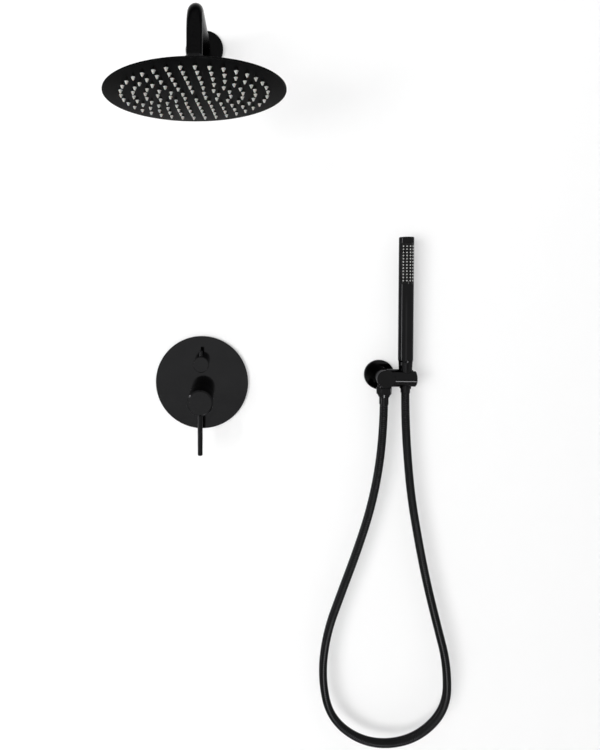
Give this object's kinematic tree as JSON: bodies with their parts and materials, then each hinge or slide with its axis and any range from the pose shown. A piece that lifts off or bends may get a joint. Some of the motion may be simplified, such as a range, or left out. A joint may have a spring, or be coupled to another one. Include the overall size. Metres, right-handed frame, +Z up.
{
  "type": "concealed shower set",
  "caption": "Gloss black concealed shower set: round rain head on a wall arm, mixer plate with lever knob and diverter, and a stick hand shower on a hose in a wall outlet holder.",
  "frame": {"origin": "centre of the mixer's cover plate, on the finished wall", "axes": "+X right, +Y into the wall, +Z up; the room and the picture's camera are on the -Y side"},
  "size_m": [0.5946, 0.501, 1.3776],
  "materials": {
    "black_finish": "gloss black over brass",
    "hose_steel": "gloss black interlocked metal",
    "spray_silicone": "pale silicone",
    "panel_silicone": "black silicone with pale nozzle tips",
    "seal_rubber": "black rubber",
    "seal_foam": "closed-cell foam",
    "seat_plastic": "moulded acetal",
    "valve_brass": "raw cast and turned brass",
    "ceramic": "lapped ceramic",
    "bare_steel": "stainless steel"
  },
  "bodies": {
    "wall_set": {"arm_flange": "black_finish", "arm_flange_seal": "seal_foam", "shower_arm": "black_finish", "arm_washer": "seal_rubber", "ball_stem": "black_finish", "cover_plate": "black_finish", "plate_seal": "seal_foam", "valve_body": "valve_brass", "cartridge_housing": "seat_plastic", "cartridge_nut": "valve_brass", "ceramic_seat": "ceramic", "mixer_sleeve": "black_finish", "sleeve_ring": "seal_rubber", "diverter_cartridge": "seat_plastic", "outlet_rosette": "black_finish", "rosette_seal": "seal_foam", "outlet_body": "black_finish", "check_valve": "seat_plastic", "hose_wall_washer": "seal_rubber", "hose_wall_nut": "black_finish", "hose_wall_ferrule": "black_finish", "hose": "hose_steel"},
    "head_ring": {"ball_seat": "seat_plastic"},
    "rain_head": {"head_collar": "black_finish", "head_shell": "black_finish", "head_face_plate": "black_finish", "head_nozzle_mat": "spray_silicone"},
    "mixer_guide": {"cartridge_spindle": "seat_plastic"},
    "mixer_handle": {"cartridge_stem": "bare_steel", "mixer_knob": "black_finish", "mixer_lever": "black_finish", "mixer_grub_screw": "bare_steel"},
    "mixer_slider": {"ceramic_slider": "ceramic"},
    "diverter": {"diverter_spindle": "valve_brass", "diverter_knob": "black_finish", "diverter_pin": "black_finish", "diverter_grub_screw": "bare_steel"},
    "hose_end": {"hose_hand_ferrule": "black_finish"},
    "handset": {"hose_cone_nut": "black_finish", "handset_washer": "seal_rubber", "handset_body": "black_finish", "handset_spray_panel": "panel_silicone", "handset_cap": "black_finish"}
  },
  "joints": [
    {"name": "head_swivel", "type": "hinge", "parent": "wall_set", "child": "head_ring", "pos_m": [0.005, -0.314, 0.47961], "axis": [0, 0, 1], "continuous": true},
    {"name": "head_tilt", "type": "hinge", "parent": "head_ring", "child": "rain_head", "pos_m": [0.005, -0.314, 0.47961], "axis": [1, 0, 0], "range_deg": [-10, 10]},
    {"name": "temperature", "type": "hinge", "parent": "wall_set", "child": "mixer_guide", "pos_m": [0, -0.022, -0.024], "axis": [0, -1, 0], "range_deg": [-45, 45]},
    {"name": "flow", "type": "hinge", "parent": "mixer_guide", "child": "mixer_handle", "pos_m": [0, -0.022, -0.024], "axis": [-1, 0, 0], "range_deg": [0, 20]},
    {"name": "slider_travel", "type": "slide", "parent": "mixer_guide", "child": "mixer_slider", "axis": [0, 0, -1], "range_m": [0, 0.0036]},
    {"name": "diverter_turn", "type": "hinge", "parent": "wall_set", "child": "diverter", "pos_m": [0, -0.035, 0.041], "axis": [0, -1, 0], "range_deg": [-60, 60]},
    {"name": "handset_lift", "type": "slide", "parent": "wall_set", "child": "hose_end", "axis": [0, 0, 1], "range_m": [0, 0.06], "deforming": ["hose"]},
    {"name": "handset_swivel", "type": "hinge", "parent": "hose_end", "child": "handset", "pos_m": [0.3844, -0.036, 0.0505], "axis": [0, 0, 1], "continuous": true}
  ],
  "couplings": [
    {"joint": "slider_travel", "follows": "flow", "m_per_rad": 0.01}
  ]
}
